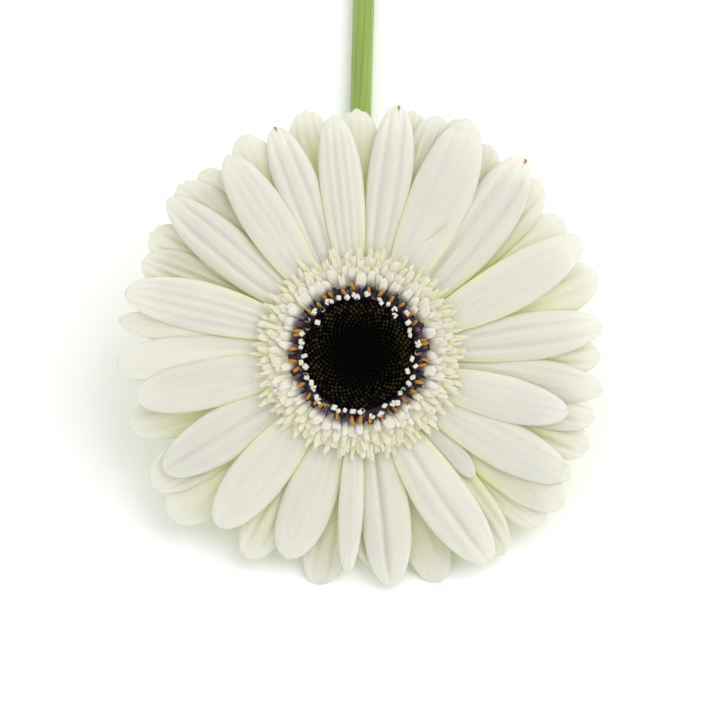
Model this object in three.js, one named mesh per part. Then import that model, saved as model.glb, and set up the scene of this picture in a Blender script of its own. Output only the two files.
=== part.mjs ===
// A cut gerbera lying on a flat surface: a bare scape with one flower head at its end.
// Millimetres and degrees. +Z is up and the surface is z = 0. The scape runs along +Y, and the
// face of the head looks up and towards -Y. The head leans on the tips of its two lowest ray
// florets, and the scape lies along its own length.
//
// The head is built in a frame of its own: origin where the scape meets the receptacle, z out of
// the face, y towards the top of the face. Angles round the face run clockwise from its top, as
// seen from the front.
import * as THREE from "three";

// ---- Driving dimensions -------------------------------------------------------------------

const HEAD_RADIUS = 61; // from the axis to the tip of the longest ray floret
const HEAD_TILT = 60; // of the face's axis above the surface
const CLEARANCE = 0.35; // between pieces that meet

const STEM_LENGTH = 330; // along the surface, from the cut end to the neck
const STEM_CUT_RADIUS = 3.4; // at the cut end
const STEM_NECK_RADIUS = 2.7; // just under the head
const STEM_CUT_SLANT = 35; // of the florist's cut
const STEM_BOW = 9; // sideways, of the lying stretch
const NECK_REACH = 42; // along the surface, from where the scape lifts off to the neck

const RECEPTACLE_RADIUS = 10.2; // of the plate that the florets stand on
const BELL_HEIGHT = 10; // over which the scape flares into that plate
const PLATE_HEIGHT = 14; // of the plate's top above the neck

const RAY_THICKNESS = 0.4; // of a ray floret's blade
const RAY_LIFT = 1.2; // of the bases of the uppermost ray florets above the plate
const RAY_ARCH_SLOPE = 0.16; // rise per millimetre where a ray floret leaves the receptacle
const RAY_ARCH_CREST = 30; // distance from there to the highest point of the arch
const LEVEL_STEP = 0.75; // height between one level of ray florets and the next, at the base
const LEVEL_FAN = 0.012; // by which that height grows for each millimetre outwards

const DISC_RADIUS = 12.3; // of the dark cushion of closed florets
const DISC_FLARE = 0.6; // height over which it widens above the bases of the ray florets
const DISC_RIM_RISE = 2.6; // of its rounded rim above that
const DISC_DIP = 1.2; // of its sunk centre below the rim
const DISC_CREST = 0.86; // share of its radius where the rim is highest

const BRACT_ROW_STEP = 3.5; // from the tips of one row of bracts down to those of the next
const BRACT_FOOT = 0.5; // height of the rows' feet above the neck
const BRACT_THICKNESS = 0.7;
const BRACT_NOTCH = 1.7; // depth of the notches between the tips of neighbouring bracts
const BRACT_FLARE = 0.8; // by which the tips stand away
const BRACTS_PER_ROW = 22;

// Rings of short florets that stand on the ray florets, from the disc outwards: the width of
// each ring, and how high it rises at its inner and at its outer edge.
const CROWNS = [
  { name: "open_disc_florets", width: 2.2, innerRise: 3.1, outerRise: 3.4, florets: 36, finish: "anther" },
  { name: "trans_florets_inner", width: 3.1, innerRise: 3.6, outerRise: 2.6, florets: 38, finish: "cream" },
  { name: "trans_florets_middle", width: 2.8, innerRise: 2.6, outerRise: 1.7, florets: 44, finish: "cream" },
  { name: "trans_florets_outer", width: 3.2, innerRise: 1.7, outerRise: 0.7, florets: 50, finish: "cream" },
];
const CROWN_NOTCH = 0.7; // depth of the notches between neighbouring florets of a ring

// ---- Ray florets ---------------------------------------------------------------------------

// The blade of a ray floret: [share of its length, share of its greatest width].
const RAY_OUTLINE = [
  [0, 0.16],
  [0.2, 0.42],
  [0.4, 0.76],
  [0.62, 1],
  [0.8, 0.93],
  [0.93, 0.66],
  [1, 0.24],
];
const RAY_WIDEST = 0.62; // share of the length where it is widest

// Each ray floret: the angle of its tip and of its base, the angle that its greatest width
// spans, how much shorter it is than the longest one, and its level. Level 0 lies on top.
const FRONT_RAYS = [
  { tip: 9, base: 11.5, span: 15, short: 2.6, level: 1 },
  { tip: 25.5, base: 30.5, span: 20, short: 0.8, level: 0 },
  { tip: 40.5, base: 48.5, span: 19, short: 1.5, level: 1 },
  { tip: 63, base: 69, span: 17.5, short: 2.8, level: 0 },
  { tip: 83.3, base: 85.5, span: 16.5, short: 4.2, level: 1 },
  { tip: 98.5, base: 97, span: 14.5, short: 3.5, level: 2 },
  { tip: 106, base: 109, span: 17.5, short: 10.7, level: 0 },
  { tip: 120.5, base: 124, span: 17, short: 4, level: 1 },
  { tip: 148, base: 153, span: 18.5, short: 4, level: 0 },
  { tip: 172, base: 168.5, span: 17.5, short: 6.5, level: 1 },
  { tip: 183, base: 183, span: 9.5, short: 10.2, level: 0 },
  { tip: 199.5, base: 198, span: 20, short: 10.7, level: 1 },
  { tip: 219.5, base: 220, span: 20, short: 9.5, level: 0 },
  { tip: 239, base: 240, span: 19.5, short: 8.1, level: 1 },
  { tip: 258.7, base: 259.5, span: 18.5, short: 8.6, level: 0 },
  { tip: 267.5, base: 270, span: 17, short: 4.7, level: 1 },
  { tip: 278, base: 278, span: 12, short: 4.5, level: 2 },
  { tip: 285, base: 289, span: 17.5, short: 5, level: 0 },
  { tip: 309, base: 306.7, span: 16.5, short: 3.8, level: 1 },
  { tip: 326.3, base: 324.5, span: 17, short: 5.8, level: 0 },
  { tip: 339.5, base: 340.5, span: 15.5, short: 4.7, level: 1 },
  { tip: 354, base: 354.5, span: 15, short: 5.4, level: 0 },
];
const SHORT_RAYS = [
  { tip: 137, base: 134.5, span: 11.5, short: 22, level: 2 },
  { tip: 344.5, base: 344, span: 8, short: 26.5, level: 2 },
];
const BACK_RAYS = [
  { tip: 12.7, base: 12.7, span: 15, short: 2.5, level: 6 },
  { tip: 18.7, base: 19.5, span: 14.5, short: 2.6, level: 3 },
  { tip: 24.5, base: 25.5, span: 15, short: 0.5, level: 5 },
  { tip: 32.5, base: 34, span: 15, short: 3.5, level: 4 },
  { tip: 46.5, base: 47.5, span: 16, short: 2.8, level: 3 },
  { tip: 57, base: 58.5, span: 16, short: 3.8, level: 4 },
  { tip: 72, base: 73, span: 16, short: 2.6, level: 3 },
  { tip: 90.5, base: 90.5, span: 15, short: 4.7, level: 4 },
  { tip: 105.5, base: 104.5, span: 14, short: 4.2, level: 3 },
  { tip: 112.5, base: 112.5, span: 15, short: 3.1, level: 4 },
  { tip: 126.7, base: 126.7, span: 15, short: 1.7, level: 3 },
  { tip: 132.5, base: 133, span: 13.5, short: 2.6, level: 4 },
  { tip: 144, base: 144.5, span: 14.5, short: 3.3, level: 3 },
  { tip: 160.5, base: 160.5, span: 15, short: 4.5, level: 4 },
  { tip: 176, base: 176, span: 14, short: 11.6, level: 3 },
  { tip: 190, base: 189.5, span: 15, short: 6.3, level: 4 },
  { tip: 208.7, base: 208.7, span: 15.5, short: 6.7, level: 3 },
  { tip: 229, base: 229.5, span: 17, short: 2.6, level: 4 },
  { tip: 237.5, base: 239, span: 15.5, short: 3.8, level: 3 },
  { tip: 252.5, base: 252, span: 15.5, short: 4.9, level: 4 },
  { tip: 293.3, base: 294, span: 15.5, short: 6.3, level: 3 },
  { tip: 300, base: 300.5, span: 15.5, short: 4.7, level: 4 },
  { tip: 313, base: 313, span: 15.5, short: 3.5, level: 3 },
  { tip: 319.3, base: 319.3, span: 14.5, short: 4.7, level: 4 },
  { tip: 331.5, base: 331.5, span: 15.5, short: 3.3, level: 3 },
  { tip: 347.3, base: 347.3, span: 15, short: 2.5, level: 6 },
  { tip: 359.5, base: 359.5, span: 15.5, short: 3.8, level: 4 },
];

// ---- Facets --------------------------------------------------------------------------------

const STEM_SIDES = 10;
const LYING_STEPS = 22;
const NECK_STEPS = 20;
const BELL_STEPS = 6;
const DISC_SIDES = 32;
const SEGMENTS_PER_TOOTH = 2;

// ---- Materials -----------------------------------------------------------------------------

const matte = (color, roughness) => new THREE.MeshStandardMaterial({ color, roughness, metalness: 0 });
const MATERIALS = {
  ray: matte(0xebebdc, 0.55),
  cream: matte(0xe6e4cc, 0.6),
  anther: matte(0xc98a2b, 0.6),
  disc: matte(0x120d10, 0.5),
  bract: matte(0x6f8a2c, 0.65),
  scape: matte(0x8fa63a, 0.6),
};

// ---- Shared geometry -----------------------------------------------------------------------

const ROOT_RADIUS = RECEPTACLE_RADIUS + CLEARANCE; // where ray florets leave the receptacle

// Height of a ray floret's middle surface, at a distance from the head's axis.
function rayHeight(radius, level) {
  const out = radius - ROOT_RADIUS;
  const arch = RAY_ARCH_SLOPE * out * (1 - out / (2 * RAY_ARCH_CREST));
  return PLATE_HEIGHT + RAY_LIFT + arch - level * (LEVEL_STEP + LEVEL_FAN * out);
}

// Height just clear of the uppermost ray florets, at a distance from the head's axis.
const aboveRays = (radius) => rayHeight(radius, 0) + RAY_THICKNESS / 2 + CLEARANCE;

// Radius of the receptacle, at a height above the neck.
function receptacleRadius(height) {
  const share = THREE.MathUtils.clamp(height / BELL_HEIGHT, 0, 1);
  const flare = (1 - Math.cos(Math.PI * share)) / 2;
  return STEM_NECK_RADIUS + (RECEPTACLE_RADIUS - STEM_NECK_RADIUS) * flare;
}

// Moves each vertex of a geometry: place(point) changes the point that it is given.
function moveVertices(geometry, place) {
  const positions = geometry.getAttribute("position");
  const point = new THREE.Vector3();
  for (let i = 0; i < positions.count; i++) {
    point.fromBufferAttribute(positions, i);
    place(point);
    positions.setXYZ(i, point.x, point.y, point.z);
  }
  return geometry;
}

// A solid of revolution round z, from [radius, height] points given anticlockwise, as seen
// with the radius to the right and the height upwards.
function revolve(profile, sides) {
  const points = profile.map(([radius, height]) => new THREE.Vector2(radius, height));
  return new THREE.LatheGeometry(points, sides).rotateX(Math.PI / 2);
}

// Whether a vertex of a toothed ring is at a notch, from its angle round the axis.
function atNotch(point, teeth) {
  const turn = Math.atan2(point.y, point.x) / (2 * Math.PI);
  return Math.abs(Math.round(turn * teeth * SEGMENTS_PER_TOOTH)) % SEGMENTS_PER_TOOTH === 1;
}

function mesh(name, geometry, material) {
  const made = new THREE.Mesh(geometry, material);
  made.name = name;
  return made;
}

// ---- Sub-parts of the head, in the head's frame ----------------------------------------------

// One ray floret: a thin box whose rows are widened to the outline and bent over the arch.
function rayFloret(name, { tip, base, span, short, level }) {
  const rows = RAY_OUTLINE.length - 1;
  const length = HEAD_RADIUS - short - ROOT_RADIUS;
  const widestRadius = ROOT_RADIUS + RAY_WIDEST * length;
  const halfWidth = (THREE.MathUtils.degToRad(span) * widestRadius) / 2;
  const blade = moveVertices(new THREE.BoxGeometry(2, rows, 2, 2, rows, 1), (point) => {
    const [along, wide] = RAY_OUTLINE[Math.round(point.y + rows / 2)];
    const clockwise = THREE.MathUtils.degToRad(THREE.MathUtils.lerp(base, tip, along));
    const out = ROOT_RADIUS + along * length;
    const aside = point.x * wide * halfWidth;
    const thickness = (point.z * RAY_THICKNESS) / 2;
    point.set(aside, out, rayHeight(Math.hypot(out, aside), level) + thickness);
    point.applyAxisAngle(new THREE.Vector3(0, 0, 1), -clockwise);
  });
  return mesh(name, blade, MATERIALS.ray);
}

// One ring of short florets, with a notch between neighbours at its outer edge.
function crown({ name, innerRise, outerRise, florets, finish }, inner, outer) {
  const profile = [
    [inner, aboveRays(inner)],
    [outer, aboveRays(outer)],
    [outer, aboveRays(outer) + outerRise],
    [inner, aboveRays(inner) + innerRise],
    [inner, aboveRays(inner)],
  ];
  const middle = (inner + outer) / 2;
  const ring = moveVertices(revolve(profile, florets * SEGMENTS_PER_TOOTH), (point) => {
    const radius = Math.hypot(point.x, point.y);
    if (radius < middle || !atNotch(point, florets)) return;
    const notched = (radius - CROWN_NOTCH) / radius;
    point.x *= notched;
    point.y *= notched;
  });
  return mesh(name, ring, MATERIALS[finish]);
}

// The rings one outside the other, from the edge of the disc.
function crowns() {
  let inner = DISC_RADIUS + CLEARANCE;
  return CROWNS.map((ring) => {
    const made = crown(ring, inner, inner + ring.width);
    inner += ring.width + CLEARANCE;
    return made;
  });
}

// The dark cushion of closed florets: it fills the middle of the plate and widens above the
// bases of the ray florets.
function discFlorets() {
  const bottom = PLATE_HEIGHT + CLEARANCE;
  const neck = aboveRays(ROOT_RADIUS);
  const edge = neck + DISC_FLARE;
  const rim = edge + DISC_RIM_RISE;
  return mesh(
    "disc_florets",
    revolve(
      [
        [0, bottom],
        [RECEPTACLE_RADIUS, bottom],
        [RECEPTACLE_RADIUS, neck],
        [DISC_RADIUS, edge],
        [DISC_RADIUS, (edge + rim) / 2],
        [DISC_RADIUS * DISC_CREST, rim],
        [DISC_RADIUS * 0.5, rim - DISC_DIP / 2],
        [0, rim - DISC_DIP],
      ],
      DISC_SIDES,
    ),
    MATERIALS.disc,
  );
}

// One row of bracts, joined at their feet into a cup round the receptacle. `off` is the gap
// from the receptacle to the cup's inner wall.
function bractRow(name, bottom, top, off) {
  const heights = Array.from({ length: BELL_STEPS + 1 }, (_, i) => {
    return THREE.MathUtils.lerp(bottom, top, i / BELL_STEPS);
  });
  const wall = (thickness) => (height) => {
    const flare = BRACT_FLARE * THREE.MathUtils.smoothstep(height, top - 2 * BRACT_NOTCH, top);
    return [receptacleRadius(height) + off + thickness + flare, height];
  };
  const outside = heights.map(wall(BRACT_THICKNESS));
  const inside = heights.map(wall(0)).reverse();
  const cup = revolve([...outside, ...inside, outside[0]], BRACTS_PER_ROW * SEGMENTS_PER_TOOTH);
  moveVertices(cup, (point) => {
    if (point.z > top - BRACT_NOTCH / 4 && atNotch(point, BRACTS_PER_ROW)) point.z -= BRACT_NOTCH;
  });
  return mesh(name, cup, MATERIALS.bract);
}

// The rows of bracts, one outside the other. The tips of the inner row stop just below the
// lowest ray florets.
function involucre() {
  const lowest = Math.max(...BACK_RAYS.map((ray) => ray.level));
  const top = rayHeight(ROOT_RADIUS, lowest) - RAY_THICKNESS / 2 - CLEARANCE;
  const step = BRACT_THICKNESS + CLEARANCE;
  return ["involucre_inner_bracts", "involucre_outer_bracts"].map((name, row) => {
    return bractRow(name, BRACT_FOOT, top - row * BRACT_ROW_STEP, CLEARANCE + row * step);
  });
}

function flowerHead() {
  const head = new THREE.Group();
  const whorl = (prefix, rays) => {
    rays.forEach((ray, i) => head.add(rayFloret(`${prefix}_${String(i + 1).padStart(2, "0")}`, ray)));
  };
  whorl("ray_floret_front", FRONT_RAYS);
  whorl("ray_floret_short", SHORT_RAYS);
  whorl("ray_floret_back", BACK_RAYS);
  head.add(...crowns());
  head.add(discFlorets());
  head.add(...involucre());
  head.rotation.x = THREE.MathUtils.degToRad(90 - HEAD_TILT);
  return head;
}

// ---- The scape -------------------------------------------------------------------------------

// The middle line of the scape, from the cut end to the neck. The lying stretch bows sideways,
// and the rising one turns into the head's axis.
function scapeLine(neck, axis) {
  const liftOff = new THREE.Vector3(neck.x, neck.y + NECK_REACH, STEM_NECK_RADIUS);
  const corner = neck.clone().addScaledVector(axis, (STEM_NECK_RADIUS - neck.z) / axis.z);
  const cutEnd = new THREE.Vector3(neck.x - STEM_BOW, neck.y + STEM_LENGTH, STEM_CUT_RADIUS);
  const lying = new THREE.CubicBezierCurve3(
    cutEnd,
    cutEnd.clone().lerp(liftOff, 1 / 3).setX(cutEnd.x + 2 * STEM_BOW),
    cutEnd.clone().lerp(liftOff, 2 / 3).setX(liftOff.x),
    liftOff,
  );
  return { lying, rising: new THREE.QuadraticBezierCurve3(liftOff, corner, neck) };
}

// The scape and the receptacle that it widens into, grown as one piece: a straight solid of
// revolution, bent along the middle line.
function scape(neck, axis) {
  const { lying, rising } = scapeLine(neck, axis);
  const lyingLength = lying.getLength();
  const length = lyingLength + rising.getLength();
  const stations = [];
  for (let i = 0; i < LYING_STEPS; i++) stations.push((lyingLength * i) / LYING_STEPS);
  for (let i = 0; i < NECK_STEPS; i++) {
    stations.push(lyingLength + ((length - lyingLength) * i) / NECK_STEPS);
  }
  const stem = stations.map((s) => {
    const share = Math.min(s / lyingLength, 1);
    return [THREE.MathUtils.lerp(STEM_CUT_RADIUS, STEM_NECK_RADIUS, share), s];
  });
  const bell = Array.from({ length: BELL_STEPS + 1 }, (_, i) => {
    const height = (BELL_HEIGHT * i) / BELL_STEPS;
    return [receptacleRadius(height), length + height];
  });
  const top = length + PLATE_HEIGHT;
  const profile = [[0, 0], ...stem, ...bell, [RECEPTACLE_RADIUS, top], [0, top]];
  const slant = Math.tan(THREE.MathUtils.degToRad(STEM_CUT_SLANT));
  const side = new THREE.Vector3(1, 0, 0);
  const bent = moveVertices(revolve(profile, STEM_SIDES), (point) => {
    const { x, y } = point;
    const atCut = point.z < CLEARANCE;
    const s = atCut ? Math.max(STEM_CUT_RADIUS + y, 0) * slant : point.z;
    const beyond = Math.max(s - length, 0);
    const curve = s < lyingLength ? lying : rising;
    const from = s < lyingLength ? 0 : lyingLength;
    const share = Math.min((s - from) / curve.getLength(), 1);
    const tangent = curve.getTangentAt(share);
    const across = side.clone().addScaledVector(tangent, -side.dot(tangent)).normalize();
    const up = new THREE.Vector3().crossVectors(tangent, across);
    point.copy(curve.getPointAt(share));
    point.addScaledVector(tangent, beyond).addScaledVector(across, x).addScaledVector(up, y);
  });
  return mesh("scape", bent, MATERIALS.scape);
}

// ---- The flower --------------------------------------------------------------------------------

// The head stands at the height at which its lowest ray florets touch the surface, the scape
// follows from there, and the origin goes under the middle of the whole flower.
function gerbera() {
  const flower = new THREE.Group();
  const head = flowerHead();
  head.updateMatrixWorld(true);
  head.position.z = -new THREE.Box3().setFromObject(head, true).min.z;
  const axis = new THREE.Vector3(0, 0, 1).applyEuler(head.rotation);
  flower.add(head, scape(head.position.clone(), axis));
  flower.updateMatrixWorld(true);
  const box = new THREE.Box3().setFromObject(flower, true);
  const middle = box.getCenter(new THREE.Vector3());
  flower.position.set(-middle.x, -middle.y, -box.min.z);
  return flower;
}

export default gerbera();
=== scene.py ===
"""A cut white gerbera that lies on a pale table, with its one flower head facing the camera.

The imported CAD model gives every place: the head's own frame comes from the disc and the
bracts, and each ray floret takes its angle, length, width and arch from its CAD node. The
pieces of the head are shaped in the head's frame, in millimetres: z runs out of the face, y
towards the top of the face, and angles run clockwise from the top, as seen from the front.
A finished piece is in metres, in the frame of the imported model.
"""

from __future__ import annotations

import logging
import math
import random
from dataclasses import dataclass, field, replace
from enum import Enum
from typing import Iterable, Sequence, Union

import bmesh
import bpy
import numpy as np
from mathutils import Matrix, Vector, noise


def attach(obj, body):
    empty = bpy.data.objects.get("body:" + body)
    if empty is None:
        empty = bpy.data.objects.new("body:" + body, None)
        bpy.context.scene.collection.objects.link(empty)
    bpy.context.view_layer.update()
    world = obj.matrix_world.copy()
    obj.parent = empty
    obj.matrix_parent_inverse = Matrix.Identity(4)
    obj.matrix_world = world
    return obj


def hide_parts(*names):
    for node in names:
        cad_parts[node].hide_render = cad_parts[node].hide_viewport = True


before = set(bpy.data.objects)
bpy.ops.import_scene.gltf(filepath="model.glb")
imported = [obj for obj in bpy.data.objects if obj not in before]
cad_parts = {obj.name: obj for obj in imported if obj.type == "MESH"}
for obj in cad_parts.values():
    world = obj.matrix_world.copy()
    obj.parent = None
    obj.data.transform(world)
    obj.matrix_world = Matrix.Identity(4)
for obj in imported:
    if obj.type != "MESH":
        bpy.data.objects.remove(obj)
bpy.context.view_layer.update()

MM = 0.001
GOLDEN_ANGLE = math.radians(137.508)
PLATE_HEIGHT = 14.0
CLEARANCE = 0.35
RING_SIDES = 64
NO_DENT = (0.0, 0.0, 0.0)
NOISE_SEED = 7
LOG = logging.getLogger("gerbera")

Colour = tuple[float, float, float, float]
Point = tuple[float, float, float]
Span = tuple[float, float]
Profile = tuple[Span, ...]


# ---- Small helpers -------------------------------------------------------------------------


def smooth(value: float, low: float, high: float) -> float:
    """Eases from 0 to 1 as a value passes from one bound to the other.

    Args:
        value: The value to look at.
        low: The bound where the result is 0.
        high: The bound where the result is 1.

    Returns:
        A number from 0 to 1.
    """
    share = min(max((value - low) / (high - low), 0.0), 1.0)
    return share * share * (3 - 2 * share)


def mix(low: float, high: float, share: float) -> float:
    """Returns the value that lies a share of the way from low to high."""
    return low + (high - low) * share


def bump(value: float, centre: float, spread: float) -> float:
    """Returns a rounded bump of height 1 at the centre, which fades over the spread."""
    return math.exp(-(((value - centre) / spread) ** 2))


def paint(red: int, green: int, blue: int) -> Colour:
    """Turns a display colour into the linear one that a shader takes.

    Args:
        red: The red part, from 0 to 255.
        green: The green part, from 0 to 255.
        blue: The blue part, from 0 to 255.

    Returns:
        The linear colour, with full cover.
    """

    def linear(part: int) -> float:
        """Returns the linear value of one part of the colour."""
        share = part / 255
        return share / 12.92 if share <= 0.04045 else ((share + 0.055) / 1.055) ** 2.4

    return (linear(red), linear(green), linear(blue), 1.0)


# ---- Shader maths --------------------------------------------------------------------------

Value = Union["Signal", float, Sequence[float]]


class Signal:
    """Something that varies over a surface: the output socket of a shader node."""

    def __init__(self, shader: "Shader", socket: bpy.types.NodeSocket) -> None:
        """Wraps a socket of a shader's node tree."""
        self.shader = shader
        self.socket = socket

    def math(self, operation: str, *terms: Value) -> "Signal":
        """Returns the result of a Math node's operation on numbers."""
        return self.shader.node("ShaderNodeMath", {"operation": operation}, dict(enumerate(terms)))

    def __add__(self, other: Value) -> "Signal":
        """Returns self + other."""
        return self.math("ADD", self, other)

    def __radd__(self, other: Value) -> "Signal":
        """Returns other + self."""
        return self.math("ADD", other, self)

    def __sub__(self, other: Value) -> "Signal":
        """Returns self - other."""
        return self.math("SUBTRACT", self, other)

    def __rsub__(self, other: Value) -> "Signal":
        """Returns other - self."""
        return self.math("SUBTRACT", other, self)

    def __mul__(self, other: Value) -> "Signal":
        """Returns self * other."""
        return self.math("MULTIPLY", self, other)

    def __pow__(self, power: Value) -> "Signal":
        """Returns self raised to a power."""
        return self.math("POWER", self, power)

    def __abs__(self) -> "Signal":
        """Returns self without its sign."""
        return self.math("ABSOLUTE", self)

    def step(self, low: float, high: float) -> "Signal":
        """Eases from 0 to 1 as self passes from low to high, which may be the smaller one.

        Args:
            low: The value where the result is 0.
            high: The value where the result is 1.

        Returns:
            A signal from 0 to 1.
        """
        settings = {"interpolation_type": "SMOOTHSTEP"}
        if low < high:
            return self.shader.node("ShaderNodeMapRange", settings, {0: self, 1: low, 2: high})
        return 1 - self.shader.node("ShaderNodeMapRange", settings, {0: self, 1: high, 2: low})


class Shader:
    """A material's node tree, written as expressions on signals."""

    def __init__(self, name: str) -> None:
        """Starts a material with one Principled shader."""
        self.material = bpy.data.materials.new(name)
        self.material.use_nodes = True
        self.tree = self.material.node_tree
        self.principled = self.tree.nodes["Principled BSDF"]

    def feed(self, socket: bpy.types.NodeSocket, value: Value) -> None:
        """Links a signal to an input socket, or sets the socket to a constant.

        Args:
            socket: The input socket.
            value: The signal or the constant.
        """
        if isinstance(value, Signal):
            self.tree.links.new(value.socket, socket)
        else:
            socket.default_value = value

    def node(
        self,
        kind: str,
        settings: dict[str, object] | None = None,
        inputs: dict[int | str, Value] | None = None,
        output: int | str = 0,
    ) -> Signal:
        """Adds a node.

        Args:
            kind: The node's type.
            settings: Its properties, which are set first.
            inputs: The values or signals of its input sockets, by name or number.
            output: The output socket that is wanted.

        Returns:
            The signal of that output socket.
        """
        made = self.tree.nodes.new(kind)
        for key, setting in (settings or {}).items():
            setattr(made, key, setting)
        for key, value in (inputs or {}).items():
            self.feed(made.inputs[key], value)
        return Signal(self, made.outputs[output])

    def attribute(self, name: str) -> Signal:
        """Returns a number that the mesh holds at each vertex."""
        settings = {"attribute_name": name, "attribute_type": "GEOMETRY"}
        return self.node("ShaderNodeAttribute", settings, output="Fac")

    def uv(self) -> tuple[Signal, Signal]:
        """Returns the place across and the place along the piece's own UV map."""
        place = self.node("ShaderNodeUVMap", {"uv_map": "blade"})
        return tuple(
            self.node("ShaderNodeSeparateXYZ", {}, {0: place}, axis) for axis in ("X", "Y")
        )

    def vector(self, x: Value, y: Value, z: Value = 0.0) -> Signal:
        """Returns a vector made of three numbers."""
        return self.node("ShaderNodeCombineXYZ", {}, {0: x, 1: y, 2: z})

    def position(self) -> Signal:
        """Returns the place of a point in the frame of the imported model, in metres."""
        return self.node("ShaderNodeTexCoord", output="Object")

    def noise(self, place: Signal, scale: float, detail: float = 2.0) -> Signal:
        """Returns soft cloudy noise.

        Args:
            place: Where to read it.
            scale: How many features fit in a unit of place.
            detail: How many finer layers are added.

        Returns:
            A signal around 0.5.
        """
        inputs = {"Vector": place, "Scale": scale, "Detail": detail}
        return self.node("ShaderNodeTexNoise", {}, inputs)

    def blend(self, under: Value, over: Value, share: Value) -> Signal:
        """Mixes two colours.

        Args:
            under: The colour where the share is 0.
            over: The colour where the share is 1.
            share: How much of the second colour shows.

        Returns:
            The mixed colour.
        """
        settings = {"data_type": "RGBA", "clamp_factor": True}
        return self.node("ShaderNodeMix", settings, {0: share, 6: under, 7: over}, 2)

    def relief(self, height: Signal, depth: float) -> Signal:
        """Returns the normal of a surface with small relief.

        Args:
            height: The relief, from 0 to 1.
            depth: The height of the relief in millimetres.

        Returns:
            The bent normal.
        """
        inputs = {"Height": height, "Strength": 1.0, "Distance": depth * MM}
        return self.node("ShaderNodeBump", {}, inputs)

    def surface(self, **values: Value) -> bpy.types.Material:
        """Feeds the Principled shader.

        Args:
            **values: Values by socket name, in lower case with underscores for spaces.

        Returns:
            The finished material.
        """
        inputs = self.principled.inputs
        names = {socket.name.lower().replace(" ", "_"): socket for socket in inputs}
        for name, value in values.items():
            self.feed(names[name], value)
        return self.material


# ---- Finishes ------------------------------------------------------------------------------


@dataclass(frozen=True)
class IvoryBlade:
    """The upper face of a ray floret: soft ivory with fine veins, greener towards its claw, with
    painted shade towards its tip and painted shade and a painted lime glow in its crevices.
    """

    ivory: Colour = paint(218, 215, 204)
    milk: Colour = paint(231, 229, 217)
    lime: Colour = paint(196, 204, 104)
    tip_shade: Colour = paint(184, 184, 166)
    scorch: Colour = paint(156, 98, 26)
    vein_depth: float = 0.12
    roughness: float = 0.48

    def material(self) -> bpy.types.Material:
        """Returns the material, which reads the blade's UV map and its attributes."""
        shader = Shader("ray_ivory")
        across, along = shader.uv()
        tone = shader.attribute("tone")
        veins = shader.noise(shader.vector(across * 46, along * 1.6, tone * 40), 1.0, 3.0)
        clouds = shader.noise(shader.vector(across * 3, along * 5, tone * 23), 1.0, 2.0)
        rim = abs(across * 2 - 1) ** 4 + along.step(0.8, 1.0)
        colour = shader.blend(self.ivory, self.milk, rim * 0.7 + clouds * 0.3)
        colour = shader.blend(colour, self.lime, (veins * 1.4 - 0.42) * along.step(1.0, 0.2) * 0.3)
        shade = shader.attribute("shade")
        # Painted shade: greyer towards the tip, most of all on the lower blades.
        colour = shader.blend(colour, self.tip_shade, shader.attribute("tip_shade"))
        # Painted shade: yellow-green in the crevices and folds, over the claw's own green.
        colour = shader.blend(colour, self.lime, shade)
        colour = shader.blend(colour, self.scorch, shader.attribute("scorch").step(0.2, 0.9))
        return shader.surface(
            base_color=colour,
            roughness=self.roughness + clouds * 0.12,
            normal=shader.relief(veins, self.vein_depth),
            subsurface_weight=0.6,
            subsurface_radius=(1.0, 0.98, 0.75),
            subsurface_scale=1.4 * MM,
            # Painted glow: the shaded crevices give off a little lime light.
            emission_color=shader.blend((0.0, 0.0, 0.0, 1.0), self.lime, shade),
            emission_strength=0.16,
            sheen_weight=0.08,
            sheen_roughness=0.5,
        )


@dataclass(frozen=True)
class LimeReverse:
    """The underside of a ray floret: lime green between white margins and pale veins."""

    lime: Colour = paint(164, 180, 36)
    pale: Colour = paint(196, 206, 112)
    white: Colour = paint(238, 238, 226)
    roughness: float = 0.55

    def material(self) -> bpy.types.Material:
        """Returns the material, which reads the blade's UV map."""
        shader = Shader("ray_reverse")
        across, along = shader.uv()
        tone = shader.attribute("tone")
        veins = shader.noise(shader.vector(across * 40, along * 1.4, tone * 40), 1.0, 3.0)
        side = abs(across * 2 - 1)
        colour = shader.blend(self.lime, self.pale, veins.step(0.5, 0.68) * 0.6)
        colour = shader.blend(colour, self.pale, abs(side - 0.34).step(0.05, 0.0) * 0.7)
        edge = side.step(0.74, 0.93)
        colour = shader.blend(colour, self.white, edge.math("MAXIMUM", edge, along.step(0.9, 0.98)))
        return shader.surface(
            base_color=colour,
            roughness=self.roughness,
            normal=shader.relief(veins, 0.05),
            subsurface_weight=0.25,
            subsurface_radius=(0.8, 1.0, 0.3),
            subsurface_scale=1.0 * MM,
            # Painted glow: the reverse gives off a little of its own colour.
            emission_color=colour,
            emission_strength=0.14,
        )


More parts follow.
